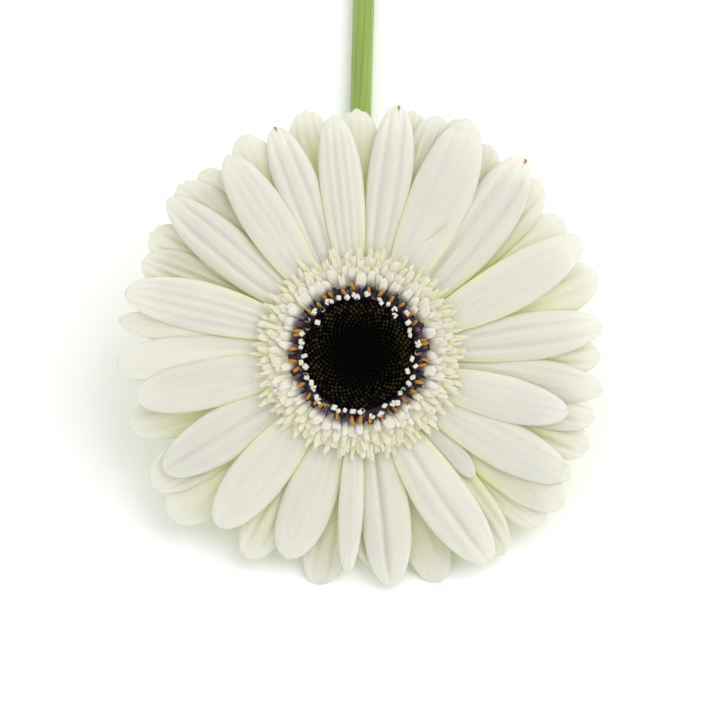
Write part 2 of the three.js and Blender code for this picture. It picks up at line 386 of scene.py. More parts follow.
@dataclass(frozen=True)
class CreamLobe:
    """A short trans floret: white near the disc, cream and then yellow-green further out."""

    white: Colour = paint(205, 203, 195)
    cream: Colour = paint(201, 198, 174)
    lime: Colour = paint(204, 202, 146)
    plum: Colour = paint(80, 58, 80)
    roughness: float = 0.45

    def material(self) -> bpy.types.Material:
        """Returns the material, which reads the attributes of the lobes."""
        shader = Shader("floret_cream")
        rise = shader.attribute("rise")
        row = shader.attribute("row")
        tint = shader.attribute("tint")
        mottle = shader.noise(shader.position(), 900.0, 2.0)
        colour = shader.blend(self.white, self.cream, row * 0.75 + tint * 0.35)
        green = rise.step(0.85, 0.2) * (0.25 + row * 0.5 + tint * 0.2)
        colour = shader.blend(colour, self.lime, green)
        plum = row.step(0.3, 0.0) * (rise + tint * 0.16).step(0.78, 0.36)
        colour = shader.blend(colour, self.plum, plum * 0.95)
        return shader.surface(
            base_color=colour,
            roughness=self.roughness + mottle * 0.15,
            normal=shader.relief(mottle, 0.06),
            subsurface_weight=0.4,
            subsurface_radius=(1.0, 0.95, 0.75),
            subsurface_scale=0.7 * MM,
            # Painted glow: the lobes give off a little of their own colour, so the gaps between
            # them stay light.
            emission_color=colour,
            emission_strength=0.2,
        )


@dataclass(frozen=True)
class WhiteLip:
    """The curled white lip of an open disc floret."""

    white: Colour = paint(216, 213, 202)
    shade: Colour = paint(188, 180, 152)

    def material(self) -> bpy.types.Material:
        """Returns the material."""
        shader = Shader("lip_white")
        mottle = shader.noise(shader.position(), 1400.0, 2.0)
        return shader.surface(
            base_color=shader.blend(self.white, self.shade, mottle.step(0.5, 0.8) * 0.6),
            roughness=0.4 + mottle * 0.2,
            normal=shader.relief(mottle, 0.05),
            subsurface_weight=0.4,
            subsurface_radius=(1.0, 0.95, 0.8),
            subsurface_scale=0.6 * MM,
        )


@dataclass(frozen=True)
class OrangePollen:
    """An anther tube, orange with pollen towards its tip and brown at its foot."""

    orange: Colour = paint(198, 142, 34)
    amber: Colour = paint(162, 102, 20)
    brown: Colour = paint(72, 36, 26)

    def material(self) -> bpy.types.Material:
        """Returns the material, which reads how far along the tube a point is."""
        shader = Shader("anther_pollen")
        grains = shader.noise(shader.position(), 3800.0, 2.0)
        colour = shader.blend(self.orange, self.amber, grains.step(0.4, 0.65))
        colour = shader.blend(colour, self.brown, shader.attribute("rise").step(0.4, 0.1))
        return shader.surface(
            base_color=colour,
            roughness=0.7,
            normal=shader.relief(grains, 0.12),
        )


@dataclass(frozen=True)
class DarkBud:
    """A closed disc floret: near black, with an olive tip in the outer part of the disc."""

    black: Colour = paint(2, 2, 2)
    plum: Colour = paint(18, 11, 17)
    olive: Colour = paint(70, 69, 16)
    rust: Colour = paint(52, 36, 12)

    def material(self) -> bpy.types.Material:
        """Returns the material, which reads the attributes of the buds."""
        shader = Shader("disc_dark")
        rise = shader.attribute("rise")
        ring = shader.attribute("ring")
        tint = shader.attribute("tint")
        colour = shader.blend(self.black, self.plum, ring.step(0.7, 1.0) * 0.8)
        ripe = shader.blend(self.olive, self.rust, tint.step(0.6, 1.0))
        cover = rise.step(0.78, 0.98) * ring.step(0.45, 0.95) * tint.step(0.1, 1.0)
        return shader.surface(
            base_color=shader.blend(colour, ripe, cover),
            roughness=0.75,
            specular_ior_level=0.06,
        )


@dataclass(frozen=True)
class PlumTube:
    """The tube of an open disc floret, between the buds and the white lips."""

    plum: Colour = paint(38, 22, 38)
    mauve: Colour = paint(128, 108, 124)

    def material(self) -> bpy.types.Material:
        """Returns the material, which reads how far along the tube a point is."""
        shader = Shader("tube_plum")
        rise = shader.attribute("rise")
        tint = shader.attribute("tint")
        colour = shader.blend(self.plum, self.mauve, rise.step(0.35, 1.0) * tint)
        return shader.surface(base_color=colour, roughness=0.5)


@dataclass(frozen=True)
class DownyBract:
    """A bract of the involucre: green, downy, purple at its tip."""

    green: Colour = paint(98, 128, 52)
    light: Colour = paint(150, 172, 92)
    purple: Colour = paint(92, 62, 62)

    def material(self) -> bpy.types.Material:
        """Returns the material, which reads the blade's UV map and its attributes."""
        shader = Shader("bract_green")
        across, along = shader.uv()
        tone = shader.attribute("tone")
        down = shader.noise(shader.vector(across * 24, along * 7, tone * 31), 1.0, 4.0)
        rib = abs(across * 2 - 1).step(0.22, 0.0)
        colour = shader.blend(self.green, self.light, down.step(0.42, 0.72) * 0.6 + rib * 0.4)
        colour = shader.blend(colour, self.purple, along.step(0.74, 1.0) * 0.85)
        return shader.surface(
            base_color=colour,
            roughness=0.66,
            normal=shader.relief(down, 0.12),
            sheen_weight=0.45,
            sheen_roughness=0.6,
            sheen_tint=(0.9, 0.95, 0.8, 1.0),
        )


@dataclass(frozen=True)
class RibbedScape:
    """The stem: fresh green, finely ribbed and downy, redder towards the cut end."""

    green: Colour = paint(142, 166, 66)
    deep: Colour = paint(114, 142, 54)
    blush: Colour = paint(150, 118, 74)

    def material(self) -> bpy.types.Material:
        """Returns the material, which reads the stem's UV map: round it and along it."""
        shader = Shader("scape_green")
        around, along = shader.uv()
        turn = around * (2 * math.pi)
        wrapped = shader.vector(turn.math("COSINE", turn), turn.math("SINE", turn), along * 2.5)
        streaks = shader.noise(wrapped, 5.0, 4.0)
        fibre = shader.noise(shader.vector(around * 90, along * 30), 1.0, 3.0)
        colour = shader.blend(self.green, self.deep, streaks.step(0.4, 0.7))
        colour = shader.blend(colour, self.deep, fibre.step(0.5, 0.75) * 0.4)
        aged = along.step(0.1, 0.0) * streaks.step(0.3, 0.6)
        colour = shader.blend(colour, self.blush, aged * 0.8)
        return shader.surface(
            base_color=colour,
            roughness=0.5 + streaks * 0.2,
            normal=shader.relief(fibre, 0.09),
            subsurface_weight=0.12,
            subsurface_radius=(0.6, 1.0, 0.3),
            subsurface_scale=1.0 * MM,
            sheen_weight=0.35,
            sheen_roughness=0.5,
            sheen_tint=(0.92, 0.96, 0.84, 1.0),
        )


@dataclass(frozen=True)
class MoistPith:
    """The freshly cut face of the stem: pale, moist, with a darker ring of vessels."""

    pith: Colour = paint(214, 220, 168)
    vessels: Colour = paint(128, 146, 70)

    def material(self) -> bpy.types.Material:
        """Returns the material, which reads how far from its middle a point is."""
        shader = Shader("scape_pith")
        spongy = shader.noise(shader.position(), 2600.0, 3.0)
        ring = shader.attribute("ring")
        cover = ring.step(0.55, 0.8) * spongy.step(0.35, 0.6)
        return shader.surface(
            base_color=shader.blend(self.pith, self.vessels, cover),
            roughness=0.3 + spongy * 0.2,
            normal=shader.relief(spongy, 0.15),
        )


@dataclass(frozen=True)
class PaleTable:
    """The plain pale surface that the flower lies on."""

    white: Colour = paint(255, 255, 255)
    grey: Colour = paint(250, 250, 250)

    def material(self) -> bpy.types.Material:
        """Returns the material."""
        shader = Shader("table_pale")
        grain = shader.noise(shader.position(), 60.0, 3.0)
        return shader.surface(
            base_color=shader.blend(self.white, self.grey, grain),
            roughness=0.85,
        )


# ---- Frames and pieces ---------------------------------------------------------------------


@dataclass(frozen=True)
class HeadFrame:
    """The frame of the flower head, found from its CAD nodes.

    Its origin is where the stem meets the receptacle.
    """

    origin: Vector
    axis: Vector
    top: Vector

    @staticmethod
    def corners(node: str) -> list[Vector]:
        """Finds the corners of a CAD node's mesh.

        Args:
            node: The node's name.

        Returns:
            Each corner once, in metres.
        """
        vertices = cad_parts[node].data.vertices
        places = {tuple(round(part, 6) for part in vertex.co) for vertex in vertices}
        return [Vector(place) for place in sorted(places)]

    @classmethod
    def from_cad(cls, foot: float) -> "HeadFrame":
        """Finds the frame: the disc and the bracts are round, so their middles lie on the axis.

        Args:
            foot: The height of the disc's foot above the origin, in millimetres.

        Returns:
            The frame.
        """
        disc = cls.corners("disc_florets")
        bracts = cls.corners("involucre_outer_bracts")
        middle = sum(disc, Vector()) / len(disc)
        axis = (middle - sum(bracts, Vector()) / len(bracts)).normalized()
        lowest = min((corner - middle).dot(axis) for corner in disc)
        top = axis.cross(Vector((1, 0, 0))).normalized()
        return cls(middle + axis * (lowest - foot * MM), axis, top)

    @property
    def matrix(self) -> Matrix:
        """Takes millimetres in the head's frame to metres in the model's frame."""
        side = self.top.cross(self.axis)
        turn = Matrix((side, self.top, self.axis)).transposed().to_4x4()
        return Matrix.Translation(self.origin) @ turn @ Matrix.Scale(MM, 4)

    def seen(self, node: str) -> np.ndarray:
        """Finds the corners of a CAD node's mesh in the head's frame.

        Args:
            node: The node's name.

        Returns:
            The corners in millimetres, as rows of an array.
        """
        inverse = self.matrix.inverted()
        return np.array([inverse @ corner for corner in self.corners(node)])


class Piece:
    """A mesh under construction that becomes one named object of the visual model."""

    def __init__(self, name: str, *marks: str) -> None:
        """Starts an empty mesh, whose vertices will hold the named numbers."""
        self.name = name
        self.bm = bmesh.new()
        self.blade = self.bm.loops.layers.uv.new("blade")
        self.marks = {mark: self.bm.verts.layers.float.new(mark) for mark in marks}
        self.spare = bpy.data.meshes.new(f"{name}_spare")

    def paint(self, vertices: Iterable[bmesh.types.BMVert], **marks: float) -> None:
        """Stores the same numbers on several vertices.

        Args:
            vertices: The vertices to mark.
            **marks: The numbers, by attribute name.
        """
        for vertex in vertices:
            for name, mark in marks.items():
                vertex[self.marks[name]] = mark

    def part(self) -> "Piece":
        """Returns an empty piece that can be joined to this one."""
        return Piece(self.name, *self.marks)

    def join(self, part: "Piece") -> None:
        """Takes in the mesh of a part.

        Args:
            part: The part, which is used up.
        """
        part.bm.to_mesh(self.spare)
        part.bm.free()
        bpy.data.meshes.remove(part.spare)
        self.bm.from_mesh(self.spare)

    def grid(self, across: int, along: int) -> list[bmesh.types.BMVert]:
        """Adds a flat grid from -1 to 1 both ways, with its UV map from 0 to 1.

        Args:
            across: The number of steps along x.
            along: The number of steps along y.

        Returns:
            The new vertices.
        """
        made = bmesh.ops.create_grid(
            self.bm, x_segments=across, y_segments=along, size=1.0, calc_uvs=True
        )
        return made["verts"]

    def ball(self, across: int, along: int) -> list[bmesh.types.BMVert]:
        """Adds a ball of radius 1 with its poles on z.

        Args:
            across: The number of sides round it.
            along: The number of steps from pole to pole.

        Returns:
            The new vertices.
        """
        made = bmesh.ops.create_uvsphere(
            self.bm, u_segments=across, v_segments=along, radius=1.0
        )
        return made["verts"]

    def spin(self, profile: Sequence[Span], sides: int, closed: bool = False) -> None:
        """Spins a line round the z axis, merges doubled vertices and turns every face outwards.

        Args:
            profile: The corners of the line, as pairs of radius and height.
            sides: The number of sides round the axis.
            closed: Whether the end of the line joins its start.
        """
        made = [self.bm.verts.new((radius, 0, height)) for radius, height in profile]
        after = made[1:] + made[:1] if closed else made[1:]
        edges = [self.bm.edges.new(pair) for pair in zip(made, after)]
        bmesh.ops.spin(
            self.bm,
            geom=made + edges,
            axis=(0, 0, 1),
            cent=(0, 0, 0),
            angle=2 * math.pi,
            steps=sides,
            use_merge=True,
        )
        bmesh.ops.remove_doubles(self.bm, verts=self.bm.verts, dist=1e-5)
        bmesh.ops.recalc_face_normals(self.bm, faces=self.bm.faces)

    def finish(
        self,
        materials: Sequence[bpy.types.Material],
        slot: str,
        nodes: Sequence[str],
        matrix: Matrix,
        rest_on: float = -1.0,
    ) -> bpy.types.Object:
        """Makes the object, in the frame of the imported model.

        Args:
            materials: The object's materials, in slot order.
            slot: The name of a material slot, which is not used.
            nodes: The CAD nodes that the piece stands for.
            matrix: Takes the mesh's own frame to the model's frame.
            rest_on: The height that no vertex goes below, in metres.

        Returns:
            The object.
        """
        bmesh.ops.transform(self.bm, matrix=matrix, verts=self.bm.verts)
        for vertex in self.bm.verts:
            vertex.co.z = max(vertex.co.z, rest_on)
        for face in self.bm.faces:
            face.smooth = True
        mesh = bpy.data.meshes.new(self.name)
        self.bm.to_mesh(mesh)
        self.bm.free()
        bpy.data.meshes.remove(self.spare)
        for material in materials:
            mesh.materials.append(material)
        made = bpy.data.objects.new(self.name, mesh)
        bpy.context.scene.collection.objects.link(made)
        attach(made, "root")
        if nodes:
            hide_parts(*nodes)
        LOG.info("%s: %d faces", self.name, len(mesh.polygons))
        return made


# ---- Ray florets ---------------------------------------------------------------------------


class RayHabit(Enum):
    """How the blade of a ray floret is ribbed: [place across it, depth] of each groove."""

    SMOOTH = ((-0.42, 0.22), (0.03, 0.14), (0.38, 0.2))
    RIBBED = ((-0.36, 0.75), (0.34, 0.75))
    TWO_RIBBED = ((0.02, 0.8), (-0.62, 0.25), (0.6, 0.25))
    MANY_RIBBED = ((-0.58, 0.45), (-0.18, 0.55), (0.22, 0.55), (0.6, 0.42))
    FOLDED = ((0.1, 1.5), (-0.5, 0.12))


@dataclass(frozen=True)
class RayPlace:
    """Where a ray floret sits in the head, read from its CAD node."""

    base_angle: float
    tip_angle: float
    base_radius: float
    tip_radius: float
    half_width: float
    heights: Point

    @classmethod
    def from_cad(cls, node: str, head: HeadFrame) -> "RayPlace":
        """Measures a CAD node.

        Args:
            node: The node's name.
            head: The frame of the flower head.

        Returns:
            The place of the ray floret.
        """
        corners = head.seen(node)
        radii = np.hypot(corners[:, 0], corners[:, 1])
        root = corners[radii < radii.min() + 2].mean(axis=0)
        tip = corners[radii > radii.max() - 1.5].mean(axis=0)
        base_angle = math.atan2(root[0], root[1])
        turn = math.remainder(math.atan2(tip[0], tip[1]) - base_angle, 2 * math.pi)
        base_radius = math.hypot(root[0], root[1])
        tip_radius = math.hypot(tip[0], tip[1])
        share = (radii - base_radius) / (tip_radius - base_radius)
        middle = base_angle + turn * share
        aside = radii * np.sin(np.arctan2(corners[:, 0], corners[:, 1]) - middle)
        heights = tuple(float(part) for part in np.polyfit(radii, corners[:, 2], 2))
        half_width = float(np.abs(aside).max())
        return cls(base_angle, base_angle + turn, base_radius, tip_radius, half_width, heights)

    def height(self, radius: float) -> float:
        """Returns the height of the blade's middle surface at a distance from the axis."""
        square, slope, level = self.heights
        return (square * radius + slope) * radius + level


@dataclass
class RayFloret:
    """One ray floret: a long thin blade on a narrow claw, with a rounded tip."""

    node: str
    place: RayPlace
    habit: RayHabit = RayHabit.SMOOTH
    camber: float = 0.9
    roll: float = 0.0
    twist: float = 0.0
    tip_drop: float = 0.8
    lip: float = 0.0
    dent: Point = NO_DENT
    pinch: float = 0.25
    notch: float = 0.5
    rim: float = 0.75
    wave: float = 0.5
    scorch: float = 0.0
    shade: float = 0.0
    seed: int = 0
    claw: float = 0.17
    widest: float = 0.66
    cap: float = 0.3
    split: float = 0.64
    tooth: float = 0.02
    thickness: float = 0.32
    across: int = 28
    along: int = 64

    def crease(self, u: float, share: float) -> float:
        """Finds how deep in the blade's own slanting crease a place is.

        Args:
            u: The place across the blade, from -1 to 1.
            share: The share of the blade's length.

        Returns:
            A number from 0 to 1.
        """
        place, along, _ = self.dent
        return bump(u, place, 0.25) * bump(share, along + 0.28 * (u - place), 0.018)

    def crevice_shade(self, u: float, share: float) -> float:
        """Finds how green the blade is: partly its own greener claw, partly painted shade, greenest
        by the edges of its claw, with painted shade also in its folds and under the blades above.

        Args:
            u: The place across the blade, from -1 to 1.
            share: The share of the blade's length.

        Returns:
            A number from 0 to 1.
        """
        edge = mix(0.05, 1.0, smooth(abs(u), 0.68, 1.0))
        claw = 1 - smooth(share, 0.25, 0.85)
        # Painted shade along the blade's crease and its lip fold, and on lower blades under the
        # ones above.
        folds = self.dent[2] * self.crease(u, share) + self.lip * 0.2 * bump(share, 0.935, 0.014)
        under = 0.2 * smooth(self.shade, 0.4, 1.0) * (1 - smooth(share, 0.7, 0.95))
        return min(1.0, claw * edge * (0.42 + self.shade) + under + folds * 0.5)

    def tip_shade(self, share: float) -> float:
        """Returns how much painted shade greys the blade at a place: most towards its tip, and more
        on the lower blades.
        """
        return mix(0.16, 0.28, self.shade) * smooth(share, 0.35, 0.85)

    def burn(self, u: float, share: float) -> float:
        """Finds how brown the blade is: a spot at its tip, and a line that fades inwards.

        Args:
            u: The place across the blade, from -1 to 1.
            share: The share of the blade's length.

        Returns:
            A number from 0 to 1.
        """
        spot = bump(u, 0.05, 0.1) * smooth(share, 0.968, 0.988)
        line = bump(u, 0.05, 0.06) * smooth(share, 0.9, 0.96) * 0.5
        return self.scorch * max(spot, line)

    def width_share(self, share: float) -> float:
        """Returns the blade's width at a share of its length, as a share of the greatest."""
        rise = math.sin(math.pi / 2 * min(share / self.widest, 1.0))
        return mix(self.claw, 1.0, rise)

    def outline(self, u: float, v: float) -> tuple[float, float]:
        """Finds a point of the blade, laid flat.

        The rows of the cap bend into half an ellipse, so that the tip is round.

        Args:
            u: The place across the blade, from -1 to 1.
            v: The place along it, from 0 to 1.

        Returns:
            The distance aside, in half widths, and the share of the length.
        """
        body = 1 - self.cap
        if v < self.split:
            share = body * v / self.split
            return u * self.width_share(share), share
        t = (v - self.split) / (1 - self.split)
        aside = u * self.width_share(body + self.cap * t) * math.sqrt(1 - t * t / 2)
        share = body + self.cap * t * math.sqrt(1 - u * u / 2)
        teeth = bump(u, -0.3, 0.12) + bump(u, 0.26, 0.12)
        share -= self.notch * self.tooth * teeth * smooth(t, 0.7, 1.0)
        return aside, share

    def relief(self, u: float, share: float) -> float:
        """Finds how far the blade stands off its middle surface.

        Args:
            u: The place across the blade, from -1 to 1.
            share: The share of the blade's length.

        Returns:
            The height in millimetres.
        """
        size = self.place.half_width / 6
        body = smooth(share, 0.12, 0.4) * (1 - 0.75 * smooth(share, 0.86, 1.0))
        height = -self.camber * size * u * u * smooth(share, 0.05, 0.5)
        for place, depth in self.habit.value:
            height -= depth * size * bump(u, place, 0.13) * body
        height -= self.pinch * bump(u, 0.0, 0.2) * smooth(share, 0.78, 1.0)
        height -= self.tip_drop * smooth(share, 0.72, 1.05) ** 1.5
        height -= self.lip * smooth(share, 0.925, 0.95)
        height -= self.dent[2] * self.crease(u, share)
        height += self.place.half_width * u * (self.roll + self.twist * (share - 0.4))
        wave = noise.noise(Vector((u * 0.9, share * 3.2, self.seed * 7.31)))
        flutter = noise.noise(Vector((u * 2.5, share * 7, self.seed * 3.17 + 40)))
        loose = self.wave * smooth(share, 0.2, 0.6)
        return height + loose * wave + 0.3 * loose * flutter

    def point(self, u: float, v: float) -> tuple[Vector, float]:
        """Finds a point of the blade in the head's frame.

        Args:
            u: The place across the blade, from -1 to 1.
            v: The place along it, from 0 to 1.

        Returns:
            The point and its share of the blade's length.
        """
        place = self.place
        side, share = self.outline(u, v)
        aside = side * place.half_width
        out = mix(place.base_radius, place.tip_radius, share)
        up = place.height(out) + self.relief(u, share)
        up -= self.rim * smooth(share, 0.35, 0.7) * max(u**6, smooth(v, 0.88, 1.0) ** 2)
        angle = mix(place.base_angle, place.tip_angle, share)
        return Matrix.Rotation(-angle, 3, "Z") @ Vector((aside, out, up)), share

    def build(self, head: HeadFrame, materials: Sequence[bpy.types.Material]) -> bpy.types.Object:
        """Builds and dresses the ray floret.

        Args:
            head: The frame of the flower head.
            materials: The finishes of its upper face and of its reverse.

        Returns:
            The finished piece.
        """
        piece = Piece(f"{self.node}_blade", "tone", "scorch", "shade", "tip_shade")
        tone = random.Random(self.seed).random()
        for vertex in piece.grid(self.across, self.along):
            u, v = vertex.co.x, (vertex.co.y + 1) / 2
            vertex.co, share = self.point(u, v)
            shade, tip_shade, scorch = self.crevice_shade(u, share), self.tip_shade(share), self.burn(u, share)
            piece.paint([vertex], tone=tone, scorch=scorch, shade=shade, tip_shade=tip_shade)
        made = piece.finish(materials, "ray_petal", [self.node], head.matrix, rest_on=0.5 * MM)
        shell = made.modifiers.new("thickness", "SOLIDIFY")
        shell.thickness = self.thickness * MM
        shell.offset = -1.0
        shell.material_offset = 1
        return made


# The spans from which each ray floret draws its small differences, in this order.
FRONT_SPANS: dict[str, Span] = {
    "camber": (0.5, 1.0),
    "roll": (-0.03, 0.03),
    "twist": (-0.06, 0.06),
    "tip_drop": (0.4, 1.6),
    "notch": (0.0, 0.4),
    "cap": (0.34, 0.42),
}
BACK_SPANS: dict[str, Span] = {
    "camber": (0.3, 0.6),
    "roll": (-0.015, 0.015),
    "twist": (-0.025, 0.025),
    "tip_drop": (-0.4, 0.6),
    "notch": (0.1, 0.6),
    "cap": (0.22, 0.32),
}


@dataclass
class RayWhorls:
    """All the ray florets of the head, each with its own small differences."""

    head: HeadFrame
    seed: int = 11
    habits: dict[int, RayHabit] = field(
        default_factory=lambda: {
            1: RayHabit.RIBBED,
            3: RayHabit.RIBBED,
            5: RayHabit.RIBBED,
            9: RayHabit.TWO_RIBBED,
            10: RayHabit.FOLDED,
            14: RayHabit.TWO_RIBBED,
            18: RayHabit.MANY_RIBBED,
            19: RayHabit.RIBBED,
            21: RayHabit.RIBBED,
            22: RayHabit.MANY_RIBBED,
        }
    )
    scorched: tuple[int, ...] = (1, 3, 21)
    lipped: tuple[int, ...] = (2, 4, 8)
    dents: dict[int, Point] = field(
        default_factory=lambda: {2: (0.36, 0.45, 0.8), 12: (-0.3, 0.4, 0.3)}
    )
    lip_drop: float = 1.2
    back_spread: float = 1.14
    back_rim: float = 0.3
    back_wave: float = 0.25
    shaded: Span = (0.2, 3.4)
    crest_radius: float = 30.0
    crest: float = 0.0

    def floret(self, node: str, seed: int, chance: random.Random) -> RayFloret:
        """Returns the ray floret of a CAD node.

        Args:
            node: The node's name.
            seed: A number that makes its waves its own.
            chance: What makes it a little different from its neighbours.

        Returns:
            The ray floret.
        """
        place = RayPlace.from_cad(node, self.head)
        shade = smooth(self.crest - place.height(self.crest_radius), *self.shaded)
        if "front" in node:
            number = int(node[-2:])
            drawn = {name: chance.uniform(*span) for name, span in FRONT_SPANS.items()}
            return RayFloret(
                node,
                place,
                habit=self.habits.get(number, RayHabit.SMOOTH),
                lip=self.lip_drop if number in self.lipped else 0.0,
                dent=self.dents.get(number, NO_DENT),
                scorch=1.0 if number in self.scorched else 0.0,
                shade=shade,
                seed=seed,
                **drawn,
            )
        habit = chance.choice((RayHabit.SMOOTH, RayHabit.RIBBED, RayHabit.MANY_RIBBED))
        drawn = {name: chance.uniform(*span) for name, span in BACK_SPANS.items()}
        if "short" in node:
            habit = RayHabit.SMOOTH
        else:
            place = replace(place, half_width=place.half_width * self.back_spread)
        return RayFloret(
            node,
            place,
            habit=habit,
            rim=self.back_rim,
            wave=self.back_wave,
            shade=shade,
            seed=seed,
            **drawn,
        )

    def build(self) -> None:
        """Builds every ray floret that the CAD model has."""
        chance = random.Random(self.seed)
        materials = (IvoryBlade().material(), LimeReverse().material())
        nodes = sorted(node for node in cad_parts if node.startswith("ray_floret"))
        places = [RayPlace.from_cad(node, self.head) for node in nodes]
        self.crest = max(place.height(self.crest_radius) for place in places)
        for index, node in enumerate(nodes):
            self.floret(node, index, chance).build(self.head, materials)


# ---- Short florets round the disc ----------------------------------------------------------


@dataclass(frozen=True)
class Lobe:
    """A rounded finger that leans outwards as it rises: a floret's lip, tube or anther."""

    base: float
    foot: float
    length: float
    width: float
    thickness: float
    lean: Span
    angle: float
    yaw: float = 0.0
    taper: float = 0.0
    notch: float = 0.0
    groove: float = 0.0
    cup: float = 0.0
    ruffle: float = 0.0

    def girth(self, rise: float) -> float:
        """Returns the lobe's girth at a share of its length, as a share of the greatest."""
        body = mix(0.5, 1.0, smooth(rise, 0.0, 0.6)) * (1 - self.taper * smooth(rise, 0.35, 1.0))
        close = max(rise - 0.68, 0.0) / 0.32
        return body * math.sqrt(max(1 - close**3, 0.0)) * min(1.0, rise / 0.04)

    def place(self, unit: Vector) -> tuple[Vector, float]:
        """Moves a point of a ball of radius 1 to the lobe.

        Args:
            unit: The point, with the ball's poles on z.

        Returns:
            The point in the head's frame, and its share of the lobe's length.
        """
        rise = (unit.z + 1) / 2
        radius = max(unit.xy.length, 1e-6)
        u, side = unit.x / radius, unit.y / radius
        girth = self.girth(rise)
        aside = u * girth * self.width / 2
        up = side * girth * self.thickness / 2
        up += self.cup * u * u * girth - self.groove * bump(u, 0.0, 0.4) * max(side, 0.0) * girth
        run = self.length * (rise - self.notch * bump(u, 0.0, 0.5) * smooth(rise, 0.75, 1.0))
        start, end = self.lean
        tilt = mix(start, end, rise)
        middle = (start + tilt) / 2
        out = self.base + run * math.cos(middle) - up * math.sin(tilt)
        height = self.foot + run * math.sin(middle) + up * math.cos(tilt)
        place = Vector((aside + math.sin(self.yaw) * run, out, height))
        if self.ruffle:
            seed = Vector((self.angle * 9, self.base, self.length * 5))
            place += noise.noise_vector(place * 0.9 + seed) * self.ruffle * smooth(rise, 0.1, 0.6)
        return Matrix.Rotation(-self.angle, 3, "Z") @ place, rise

    def build(self, piece: Piece, across: int, along: int, **marks: float) -> None:
        """Adds the lobe to a piece.

        Args:
            piece: The piece.
            across: The number of sides round the lobe.
            along: The number of steps along it.
            **marks: The numbers that its vertices hold, by name.
        """
        part = piece.part()
        for vertex in part.ball(across, along):
            vertex.co, rise = self.place(vertex.co)
            part.paint([vertex], rise=rise, **marks)
        piece.join(part)


@dataclass
class TransFlorets:
    """The short cream florets that crowd between the disc and the ray florets.

    They stand in a spiral. Each size is a pair: beside the disc, and beside the ray florets.
    """

    head: HeadFrame
    seed: int = 5
    count: int = 300
    base: Span = (13.9, 20.9)
    foot: Span = (16.8, 17.2)
    length: Span = (5.0, 4.6)
    width: Span = (2.2, 1.3)
    thickness: Span = (0.8, 0.4)
    lean_below: Span = (0.85, 0.3)
    lean_above: Span = (0.25, 0.0)
    taper: Span = (0.1, 0.5)
    ruffle: float = 0.35
    bed_edge: Profile = ((16.4, 17.2), (18.5, 17.8), (20.5, 17.8), (22.4, 17.2))
    bed_foot: Span = (15.8, 16.2)
    underside: Profile = ((12.2, 15.05), (18.4, 16.05), (18.4, 15.8), (12.2, 14.8))
    nodes: tuple[str, ...] = ("trans_florets_inner", "trans_florets_middle", "trans_florets_outer")

    def lobe(self, index: int, share: float, chance: random.Random) -> Lobe:
        """Returns one floret.

        Args:
            index: Its number in the spiral.
            share: How far out it stands, from 0 to 1.
            chance: What makes it a little different from its neighbours.

        Returns:
            The floret's lobe.
        """
        near, far = self.base
        base = math.sqrt(mix(near * near, far * far, share))
        return Lobe(
            base=base + chance.uniform(-0.35, 0.35),
            foot=mix(*self.foot, share) + chance.uniform(-0.25, 0.25),
            length=mix(*self.length, share) * chance.uniform(0.82, 1.15),
            width=mix(*self.width, share) * chance.uniform(0.75, 1.2),
            thickness=mix(*self.thickness, share) * chance.uniform(0.8, 1.2),
            lean=(
                mix(*self.lean_below, share) + chance.uniform(-0.12, 0.12),
                mix(*self.lean_above, share) + chance.uniform(-0.2, 0.15),
            ),
            angle=index * GOLDEN_ANGLE + chance.uniform(-0.03, 0.03),
            yaw=chance.uniform(-0.16, 0.16),
            taper=mix(*self.taper, share) * chance.uniform(0.0, 1.6),
            notch=chance.choice((0.0, 0.0, 0.08, 0.16)),
            groove=chance.choice((0.1, 0.2, 0.35)),
            cup=chance.uniform(-0.2, 0.3),
            ruffle=self.ruffle,
        )

    def bed(self, piece: Piece, number: int) -> None:
        """Adds the part of the receptacle that a ring of florets hides.

        Args:
            piece: The piece that it is added to.
            number: The ring's number, from the disc outwards.
        """
        if number == 0:
            piece.spin(self.underside, RING_SIDES, closed=True)
        (near, rise), (far, crest) = self.bed_edge[number : number + 2]
        low, high = self.bed_foot
        profile = ((near, rise), (far, crest), (far, high), (near, low))
        piece.spin(profile, RING_SIDES, closed=True)
        piece.paint(piece.bm.verts, rise=0.7, row=0.8, tint=0.3)

    def build(self) -> None:
        """Builds one piece for each ring of the CAD model."""
        chance = random.Random(self.seed)
        material = CreamLobe().material()
        pieces = [Piece(f"{node}_lobes", "rise", "row", "tint") for node in self.nodes]
        for number, piece in enumerate(pieces):
            self.bed(piece, number)
        for index in range(self.count):
            share = (index + 0.5) / self.count
            piece = pieces[int(share * len(pieces))]
            self.lobe(index, share, chance).build(piece, 8, 8, row=share, tint=chance.random())
        for node, piece in zip(self.nodes, pieces):
            piece.finish([material], "cream_floret", [node], self.head.matrix)


# ---- The disc ------------------------------------------------------------------------------


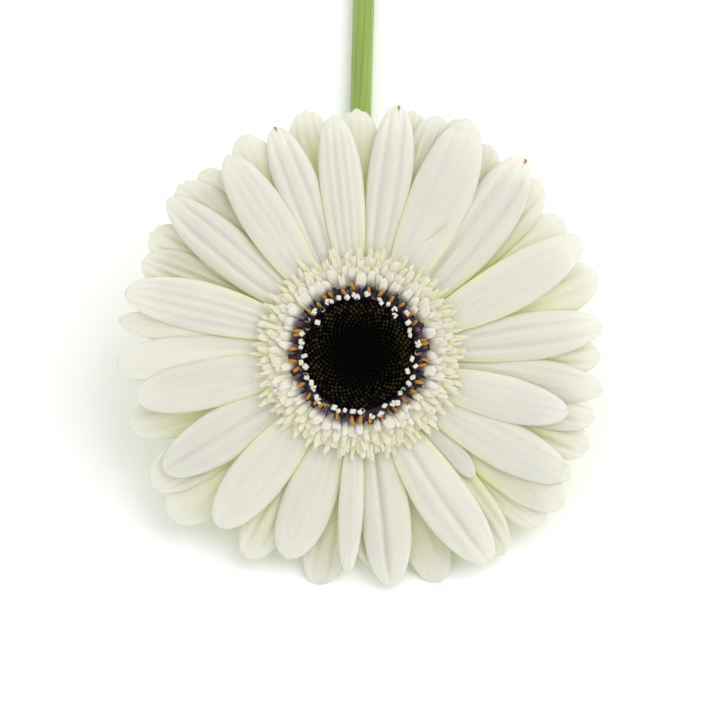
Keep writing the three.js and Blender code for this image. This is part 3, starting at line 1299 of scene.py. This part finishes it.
@dataclass
class Disc:
    """The dark cushion of closed florets and the ring of open ones round it."""

    head: HeadFrame
    radius: float = 12.5
    foot: float = 14.4
    rim_height: float = 18.3
    rim_fall: float = 1.6
    dip: float = 1.3
    crest: float = 0.86
    foot_share: float = 0.82
    sides: int = 48
    bud_count: int = 640
    bud_radius: float = 0.5
    bud_height: float = 1.5
    bud_reach: float = 0.985
    bud_sink: float = 0.25
    bed_outline: Profile = (
        (11.9, 15.5), (13.2, 16.5), (16.2, 16.8), (18.6, 16.4), (18.4, 16.1), (12.2, 15.1)
    )
    tube_count: int = 90
    tube_base: Span = (-0.1, 1.9)
    tube_sink: Span = (2.2, 1.4)
    tube_length: Span = (2.4, 3.8)
    tube_width: Span = (0.4, 0.9)
    lip_count: int = 56
    lip_radius: Span = (11.7, 14.9)
    lip_height: Span = (18.8, 19.6)
    block_size: Span = (0.8, 1.35)
    block_round: float = 0.17
    curl_turn: Span = (3.2, 4.9)
    curl_reach: Span = (0.5, 0.55)
    curl_thickness: float = 0.36
    anther_count: int = 34
    anther_base: Span = (0.7, 1.9)
    anther_sink: float = 0.5
    anther_length: Span = (2.2, 3.1)
    anther_width: Span = (0.8, 1.1)
    seed: int = 3

    def height(self, radius: float) -> float:
        """Returns the height of the cushion at a distance from its axis."""
        share = radius / self.radius
        if share > self.crest:
            return self.rim_height - self.rim_fall * ((share - self.crest) / (1 - self.crest)) ** 2
        return self.rim_height - self.dip * (1 - smooth(share, 0.1, self.crest))

    def cushion(self, piece: Piece) -> None:
        """Adds the body of the cushion: a profile that is spun round the axis.

        Args:
            piece: The piece that it is added to.
        """
        shares = (0.0, 0.2, 0.4, 0.6, 0.75, self.crest, 0.94, 1.0)
        radii = [share * self.radius for share in shares]
        profile = [(radius, self.height(radius) - self.bud_sink) for radius in radii]
        profile += [(self.radius * self.foot_share, self.foot), (0.0, self.foot)]
        piece.spin(profile, self.sides)
        for vertex in piece.bm.verts:
            share = math.hypot(vertex.co.x, vertex.co.y) / self.radius
            piece.paint([vertex], rise=0.0, ring=share, tint=0.0)

    def buds(self, piece: Piece, chance: random.Random) -> None:
        """Adds the closed florets, in the spiral in which they grow.

        Args:
            piece: The piece that they are added to.
            chance: What makes each one a little different.
        """
        for index in range(self.bud_count):
            share = math.sqrt((index + 0.5) / self.bud_count)
            radius = share * self.radius * self.bud_reach
            turn = index * GOLDEN_ANGLE + chance.uniform(-0.012, 0.012)
            size = self.bud_radius * mix(0.8, 1.08, share) * chance.uniform(0.85, 1.12)
            height = self.height(radius) + chance.uniform(-0.15, 0.15)
            centre = Vector((radius * math.cos(turn), radius * math.sin(turn), height))
            scale = Vector((size, size, size * self.bud_height))
            tint = chance.random()
            part = piece.part()
            for vertex in part.ball(6, 5):
                part.paint([vertex], rise=(vertex.co.z + 1) / 2, ring=share, tint=tint)
                vertex.co = centre + vertex.co * scale
            piece.join(part)

    def bed(self, piece: Piece) -> None:
        """Adds the ring of receptacle that the outer florets grow from.

        Args:
            piece: The piece that it is added to.
        """
        piece.spin(self.bed_outline, RING_SIDES, closed=True)
        for vertex in piece.bm.verts:
            piece.paint([vertex], rise=smooth(vertex.co.xy.length, 14.0, 18.5), tint=1.0)

    def tubes(self, piece: Piece, chance: random.Random) -> None:
        """Adds the plum tubes that the white lips and the anthers stand on.

        Args:
            piece: The piece that they are added to.
            chance: What makes each one a little different.
        """
        self.bed(piece)
        for index in range(self.tube_count):
            lobe = Lobe(
                base=self.radius + chance.uniform(*self.tube_base),
                foot=self.rim_height - chance.uniform(*self.tube_sink),
                length=chance.uniform(*self.tube_length),
                width=chance.uniform(*self.tube_width),
                thickness=0.6,
                lean=(1.2, chance.uniform(0.3, 0.8)),
                angle=2 * math.pi * (index + chance.uniform(-0.3, 0.3)) / self.tube_count,
                yaw=chance.uniform(-0.2, 0.2),
            )
            lobe.build(piece, 6, 6, tint=chance.random())

    def block(self, part: Piece, chance: random.Random) -> None:
        """Adds a white lip that is still a small rounded block.

        Args:
            part: The empty part that it is made in.
            chance: What makes each one a little different.
        """
        made = bmesh.ops.create_cube(part.bm, size=1.0)["verts"]
        size = Vector([chance.uniform(*self.block_size) for _ in range(3)])
        skew = chance.uniform(-0.25, 0.25)
        for vertex in made:
            vertex.co = vertex.co * size
            vertex.co.x += skew * vertex.co.y
        bmesh.ops.bevel(
            part.bm,
            geom=part.bm.edges[:],
            offset=self.block_round,
            offset_type="OFFSET",
            segments=2,
            profile=0.5,
            affect="EDGES",
            material=-1,
        )

    def fork(self, part: Piece, chance: random.Random) -> None:
        """Adds a white lip that has split in two.

        Args:
            part: The empty part that it is made in.
            chance: What makes each one a little different.
        """
        for side in (-1, 1):
            tooth = part.part()
            self.block(tooth, chance)
            turn = Matrix.Rotation(side * chance.uniform(0.2, 0.6), 4, "Z")
            shift = Matrix.Translation((side * 0.3, chance.uniform(0.0, 0.3), 0))
            matrix = shift @ turn @ Matrix.Diagonal((0.5, 1.0, 0.8, 1.0))
            bmesh.ops.transform(tooth.bm, matrix=matrix, verts=tooth.bm.verts)
            part.join(tooth)

    def curl(self, part: Piece, chance: random.Random) -> None:
        """Adds a white lip that has rolled up into a hook.

        Args:
            part: The empty part that it is made in.
            chance: What makes each one a little different.
        """
        turn = chance.uniform(*self.curl_turn)
        for vertex in part.grid(2, 8):
            angle = turn * vertex.co.y / 2
            reach = chance.uniform(*self.curl_reach)
            height = vertex.co.x * 0.4 + 0.4
            vertex.co = Vector((reach * math.sin(angle), reach * (1 - math.cos(angle)), height))
        bmesh.ops.solidify(part.bm, geom=part.bm.faces[:], thickness=self.curl_thickness)
        bmesh.ops.recalc_face_normals(part.bm, faces=part.bm.faces)

    def lips(self, piece: Piece, chance: random.Random) -> None:
        """Adds the white lips of the open florets, round the edge of the cushion.

        Args:
            piece: The piece that they are added to.
            chance: What makes each one a little different.
        """
        for index in range(self.lip_count):
            turn = 2 * math.pi * (index + chance.uniform(-0.35, 0.35)) / self.lip_count
            radius = chance.triangular(*self.lip_radius)
            height = chance.uniform(*self.lip_height)
            place = (
                Matrix.Rotation(-turn, 4, "Z")
                @ Matrix.Translation((0, radius, height))
                @ Matrix.Rotation(chance.uniform(-1.2, 1.2), 4, "Z")
                @ Matrix.Rotation(chance.uniform(-0.5, 0.5), 4, "X")
                @ Matrix.Rotation(chance.uniform(-0.5, 0.5), 4, "Y")
            )
            part = piece.part()
            chance.choice((self.block, self.block, self.block, self.fork, self.curl))(part, chance)
            bmesh.ops.transform(part.bm, matrix=place, verts=part.bm.verts)
            piece.join(part)

    def anthers(self, piece: Piece, chance: random.Random) -> None:
        """Adds the anther tubes, just outside the lips.

        Args:
            piece: The piece that they are added to.
            chance: What makes each one a little different.
        """
        for index in range(self.anther_count):
            lobe = Lobe(
                base=self.radius + chance.uniform(*self.anther_base),
                foot=self.rim_height - self.anther_sink,
                length=chance.uniform(*self.anther_length),
                width=chance.uniform(*self.anther_width),
                thickness=0.7,
                lean=(1.0, chance.uniform(0.2, 0.6)),
                angle=2 * math.pi * (index + chance.uniform(-0.4, 0.4)) / self.anther_count,
                yaw=chance.uniform(-0.35, 0.35),
                taper=0.2,
            )
            lobe.build(piece, 7, 6, tint=chance.random())

    def build(self) -> None:
        """Builds the cushion, its buds, and the open florets round it."""
        chance = random.Random(self.seed)
        cushion = Piece("disc_cushion", "rise", "ring", "tint")
        self.cushion(cushion)
        self.buds(cushion, chance)
        cushion.finish([DarkBud().material()], "dark_disc", ["disc_florets"], self.head.matrix)
        for name, add, finish, slot, nodes in (
            ("disc_tubes", self.tubes, PlumTube(), "dark_disc", []),
            ("disc_lips", self.lips, WhiteLip(), "cream_floret", []),
            ("disc_anthers", self.anthers, OrangePollen(), "anther", ["open_disc_florets"]),
        ):
            piece = Piece(name, "rise", "tint")
            add(piece, chance)
            piece.finish([finish.material()], slot, nodes, self.head.matrix)


# ---- The back of the head ------------------------------------------------------------------


@dataclass(frozen=True)
class BractRow:
    """A row of bracts: its CAD node, and its sizes in millimetres above the neck."""

    node: str
    count: int
    foot: float
    reach: float
    gap: float


@dataclass
class Involucre:
    """The rows of pointed green bracts that hold the head from behind."""

    head: HeadFrame
    bell: "Scape"
    seed: int = 8
    thickness: float = 0.45
    half_width: float = 1.45
    point: float = 0.05
    climb: float = 0.72
    bulge: float = 0.4
    flare: float = 1.1
    rows: tuple[BractRow, ...] = (
        BractRow("involucre_inner_bracts", 26, 1.5, 13.2, 0.45),
        BractRow("involucre_outer_bracts", 22, 0.4, 9.5, 1.15),
    )

    def bract(self, piece: Piece, row: BractRow, turn: float, reach: float, tone: float) -> None:
        """Adds one bract.

        Args:
            piece: The piece that it belongs to.
            row: The row that it stands in.
            turn: Its angle round the axis.
            reach: Its length along the receptacle.
            tone: A number that makes its pattern its own.
        """
        for vertex in piece.grid(6, 12):
            u, v = vertex.co.x, (vertex.co.y + 1) / 2
            height = row.foot + reach * v * self.climb
            wide = math.sin(math.pi * min(0.28 + v * 0.72, 1.0)) ** 0.8
            wide = self.half_width * wide + self.point
            flare = self.flare * smooth(v, 0.55, 1.0) * (0.6 + 0.8 * tone)
            stand = row.gap + self.bulge * (1 - u * u) + flare
            radius = self.bell.bell_radius(height) + stand
            angle = turn + u * wide / max(radius, 1.0)
            vertex.co = Vector((radius * math.sin(angle), radius * math.cos(angle), height))
            piece.paint([vertex], tone=tone)

    def build(self) -> None:
        """Builds one piece for each row."""
        chance = random.Random(self.seed)
        material = DownyBract().material()
        for index, row in enumerate(self.rows):
            piece = Piece(f"{row.node}_blades", "tone")
            for number in range(row.count):
                place = number + index * 0.5 + chance.uniform(-0.15, 0.15)
                reach = row.reach * chance.uniform(0.88, 1.1)
                turn = 2 * math.pi * place / row.count
                self.bract(piece, row, turn, reach, chance.random())
            bmesh.ops.reverse_faces(piece.bm, faces=piece.bm.faces)
            made = piece.finish([material], "bract", [row.node], self.head.matrix)
            shell = made.modifiers.new("thickness", "SOLIDIFY")
            shell.thickness = self.thickness * MM
            shell.offset = 1.0


# ---- The stem ------------------------------------------------------------------------------


@dataclass
class Scape:
    """The bare stem and the receptacle that it widens into, grown as one piece."""

    head: HeadFrame
    cut_radius: float = 3.4
    neck_radius: float = 2.7
    plate_radius: float = 10.2
    bell_height: float = 10.0
    plate_height: float = PLATE_HEIGHT
    neck_reach: float = 42.0
    cut_slant: float = 35.0
    slant_reach: float = 14.0
    cut_steps: Profile = ((0.35, 0.0), (0.8, 0.12), (0.7, 0.25))
    pith_depth: float = 0.6
    pith_radius: float = 3.0
    ribs: int = 11
    rib_depth: float = 0.07
    rib_fade: Span = (4.0, 10.0)
    sides: int = 44
    lying_steps: int = 120
    rising_steps: int = 60
    rings: int = 230
    bell_rings: int = 14
    line: list[Vector] = field(default_factory=list)
    travelled: list[float] = field(default_factory=list)

    def bell_radius(self, height: float) -> float:
        """Returns the radius of the receptacle at a height above the neck."""
        share = min(max(height / self.bell_height, 0.0), 1.0)
        return mix(self.neck_radius, self.plate_radius, (1 - math.cos(math.pi * share)) / 2)

    def trace(self) -> None:
        """Finds the stem's middle line, from the cut end to the neck, from the CAD node."""
        neck = self.head.origin
        corners = self.head.corners("scape")
        far = max(corner.y for corner in corners)
        end = [corner for corner in corners if corner.y > far - 2 * self.cut_radius * MM]
        cut = Vector((sum(c.x for c in end) / len(end), far, self.cut_radius * MM))
        bow = neck.x - cut.x
        lift = Vector((neck.x, neck.y + self.neck_reach * MM, self.neck_radius * MM))
        axis = self.head.axis
        corner = neck + axis * ((self.neck_radius * MM - neck.z) / axis.z)
        handles = [cut, cut.lerp(lift, 1 / 3), cut.lerp(lift, 2 / 3), lift]
        handles[1].x = cut.x + 2 * bow
        handles[2].x = lift.x
        steps = self.lying_steps
        self.line = [self.curve(handles, step / steps) for step in range(steps)]
        rising = [lift, lift.lerp(corner, 2 / 3), neck.lerp(corner, 2 / 3), neck]
        steps = self.rising_steps
        self.line += [self.curve(rising, step / steps) for step in range(steps + 1)]
        self.travelled = [0.0]
        for before, after in zip(self.line, self.line[1:]):
            self.travelled.append(self.travelled[-1] + (after - before).length)

    @staticmethod
    def curve(handles: Sequence[Vector], share: float) -> Vector:
        """Finds a point of a cubic curve.

        Args:
            handles: The curve's four handles.
            share: How far along the curve the point is, from 0 to 1.

        Returns:
            The point.
        """
        rest = 1 - share
        weights = (rest**3, 3 * rest**2 * share, 3 * rest * share**2, share**3)
        return sum((handle * weight for handle, weight in zip(handles, weights)), Vector())

    def station(self, run: float) -> tuple[Vector, Vector]:
        """Finds a place on the middle line, or on its straight extension past the neck.

        Args:
            run: The distance along the line from the cut end, in metres.

        Returns:
            The place and the direction of the line there.
        """
        total = self.travelled[-1]
        if run >= total:
            return self.line[-1] + self.head.axis * (run - total), self.head.axis
        index = max(1, int(np.searchsorted(self.travelled, run)))
        before, after = self.line[index - 1], self.line[index]
        start, end = self.travelled[index - 1 : index + 1]
        share = (run - start) / (end - start)
        ahead = self.line[min(index + 1, len(self.line) - 1)] - self.line[max(index - 2, 0)]
        return before.lerp(after, share), ahead.normalized()

    def girth(self, run: float) -> float:
        """Returns the stem's radius in millimetres at a distance from the cut end."""
        total = self.travelled[-1]
        lying = self.travelled[self.lying_steps]
        if run > total:
            return self.bell_radius((run - total) / MM)
        return mix(self.cut_radius, self.neck_radius, min(run / lying, 1.0))

    def build(self) -> bpy.types.Object:
        """Builds the stem: a profile spun round an axis, ribbed, cut at a slant and bent.

        Returns:
            The finished piece.
        """
        piece = Piece("scape_stem", "ring")
        total = self.travelled[-1]
        bell = self.bell_height * MM
        runs = [total * step / self.rings for step in range(self.rings + 1)]
        runs += [total + bell * step / self.bell_rings for step in range(1, self.bell_rings + 1)]
        runs.append(total + self.plate_height * MM)
        profile = [(self.girth(run) * MM, run) for run in runs]
        piece.spin([(0.0, 0.0), *profile, (0.0, runs[-1])], self.sides)
        self.map_blade(piece, runs[-1])
        self.cut_face(piece)
        slant = math.tan(math.radians(self.cut_slant))
        for vertex in piece.bm.verts:
            self.bend(vertex, slant)
        materials = [RibbedScape().material(), MoistPith().material()]
        return piece.finish(materials, "stem", ["scape"], Matrix.Identity(4), rest_on=0.0)

    def map_blade(self, piece: Piece, length: float) -> None:
        """Lays the UV map: the turn round the stem, and the share of its length.

        Args:
            piece: The straight stem, along z.
            length: Its length in metres.
        """
        for face in piece.bm.faces:
            centre = face.calc_center_median()
            middle = math.atan2(centre.y, centre.x)
            for loop in face.loops:
                place = loop.vert.co
                turn = math.atan2(place.y, place.x) if place.xy.length > 1e-6 else middle
                turn = middle + math.remainder(turn - middle, 2 * math.pi)
                loop[piece.blade].uv = (turn / (2 * math.pi) + 0.5, place.z / length)

    def cut_face(self, piece: Piece) -> None:
        """Gives the cut end its own finish, and rings that sink towards the pith.

        Args:
            piece: The straight stem, along z.
        """
        cut = [face for face in piece.bm.faces if face.calc_center_median().z < 1e-6]
        for width, depth in self.cut_steps:
            bmesh.ops.inset_region(piece.bm, faces=cut, thickness=width * MM, depth=-depth * MM)
        for vertex in piece.bm.verts:
            ring = vertex.co.xy.length / (self.cut_radius * MM)
            piece.paint([vertex], ring=ring)
        for face in piece.bm.faces:
            centre = face.calc_center_median()
            if centre.z < self.pith_depth * MM and centre.xy.length < self.pith_radius * MM:
                face.material_index = 1

    def bend(self, vertex: bmesh.types.BMVert, slant: float) -> None:
        """Moves one vertex from the straight stem to the bent one.

        Args:
            vertex: The vertex to move.
            slant: The slope of the cut.
        """
        x, y, run = vertex.co
        reach = math.hypot(x, y)
        angle = math.atan2(y, x)
        past_neck = (run - self.travelled[-1]) / MM
        ribbed = 1 - smooth(past_neck, *self.rib_fade)
        if reach > 1e-6:
            grown = 1 + ribbed * self.rib_depth * MM / reach * math.cos(self.ribs * angle)
            x, y = x * grown, y * grown
        near = 1 - smooth(run, 0.0, self.slant_reach * MM)
        run += max(self.cut_radius * MM + y, 0.0) * slant * near
        centre, ahead = self.station(run)
        across = (Vector((1, 0, 0)) - ahead * ahead.x).normalized()
        vertex.co = centre + across * x + ahead.cross(across) * y


# ---- The studio ----------------------------------------------------------------------------


@dataclass(frozen=True)
class Lamp:
    """A soft square light, which points at the flower's face.

    Its place is from the face, along the head's own axes. Lengths are in metres.
    """

    name: str
    place: Point
    side: float
    watts: float


@dataclass
class Studio:
    """The table, the soft lights, and the camera that looks square onto the face."""

    head: HeadFrame
    lens: float = 100.0
    sensor: float = 36.0
    frame_width: float = 165.5
    aim: tuple[float, float] = (0.23, -1.4)
    face_height: float = 17.5
    table_size: float = 6.0
    sky: float = 0.88
    lamps: tuple[Lamp, ...] = (
        Lamp("key", (0.75, 0.65, 0.85), 1.2, 7.6),
        Lamp("fill", (-0.8, -0.2, 1.1), 1.2, 2.0),
    )

    def table(self) -> None:
        """Adds the table."""
        bm = bmesh.new()
        bmesh.ops.create_grid(bm, x_segments=1, y_segments=1, size=self.table_size / 2)
        mesh = bpy.data.meshes.new("table")
        bm.to_mesh(mesh)
        bm.free()
        mesh.materials.append(PaleTable().material())
        table = bpy.data.objects.new("table", mesh)
        bpy.context.scene.collection.objects.link(table)

    def camera(self) -> None:
        """Adds the camera, on the axis of the flower's face."""
        scene = bpy.context.scene
        data = bpy.data.cameras.new("camera")
        data.lens = self.lens
        data.sensor_width = self.sensor
        data.clip_start = 0.01
        camera = bpy.data.objects.new("camera", data)
        distance = self.frame_width * self.lens / self.sensor
        place = Vector((self.aim[0], self.aim[1], self.face_height + distance))
        turn = self.head.matrix.to_3x3().normalized().to_4x4()
        camera.matrix_world = Matrix.Translation(self.head.matrix @ place) @ turn
        scene.collection.objects.link(camera)
        scene.camera = camera

    def light(self, lamp: Lamp) -> None:
        """Adds one light.

        Args:
            lamp: What the light is like.
        """
        data = bpy.data.lights.new(lamp.name, "AREA")
        data.size = lamp.side
        data.energy = lamp.watts
        light = bpy.data.objects.new(lamp.name, data)
        turn = self.head.matrix.to_3x3().normalized()
        offset = turn @ Vector(lamp.place)
        face = self.head.matrix @ Vector((0, 0, self.face_height))
        light.matrix_world = (
            Matrix.Translation(face + offset) @ offset.to_track_quat("Z", "Y").to_matrix().to_4x4()
        )
        bpy.context.scene.collection.objects.link(light)

    def build(self) -> None:
        """Builds the studio."""
        self.table()
        self.camera()
        for lamp in self.lamps:
            self.light(lamp)
        world = bpy.data.worlds.new("world")
        world.use_nodes = True
        sky = world.node_tree.nodes["Background"]
        sky.inputs["Color"].default_value = (1.0, 1.0, 1.0, 1.0)
        sky.inputs["Strength"].default_value = self.sky
        bpy.context.scene.world = world
        bpy.context.scene.view_settings.view_transform = "Standard"


# ---- The flower ----------------------------------------------------------------------------


def main() -> None:
    """Builds the studio and then the flower, from the face to the stem."""
    logging.basicConfig(level=logging.INFO, format="%(name)s: %(message)s")
    # Without a seed, the noise that ruffles the short florets would change with the clock.
    noise.seed_set(NOISE_SEED)
    head = HeadFrame.from_cad(foot=PLATE_HEIGHT + CLEARANCE)
    Studio(head).build()
    RayWhorls(head).build()
    TransFlorets(head).build()
    Disc(head).build()
    scape = Scape(head)
    scape.trace()
    scape.build()
    Involucre(head, scape).build()


if __name__ == "__main__":
    main()
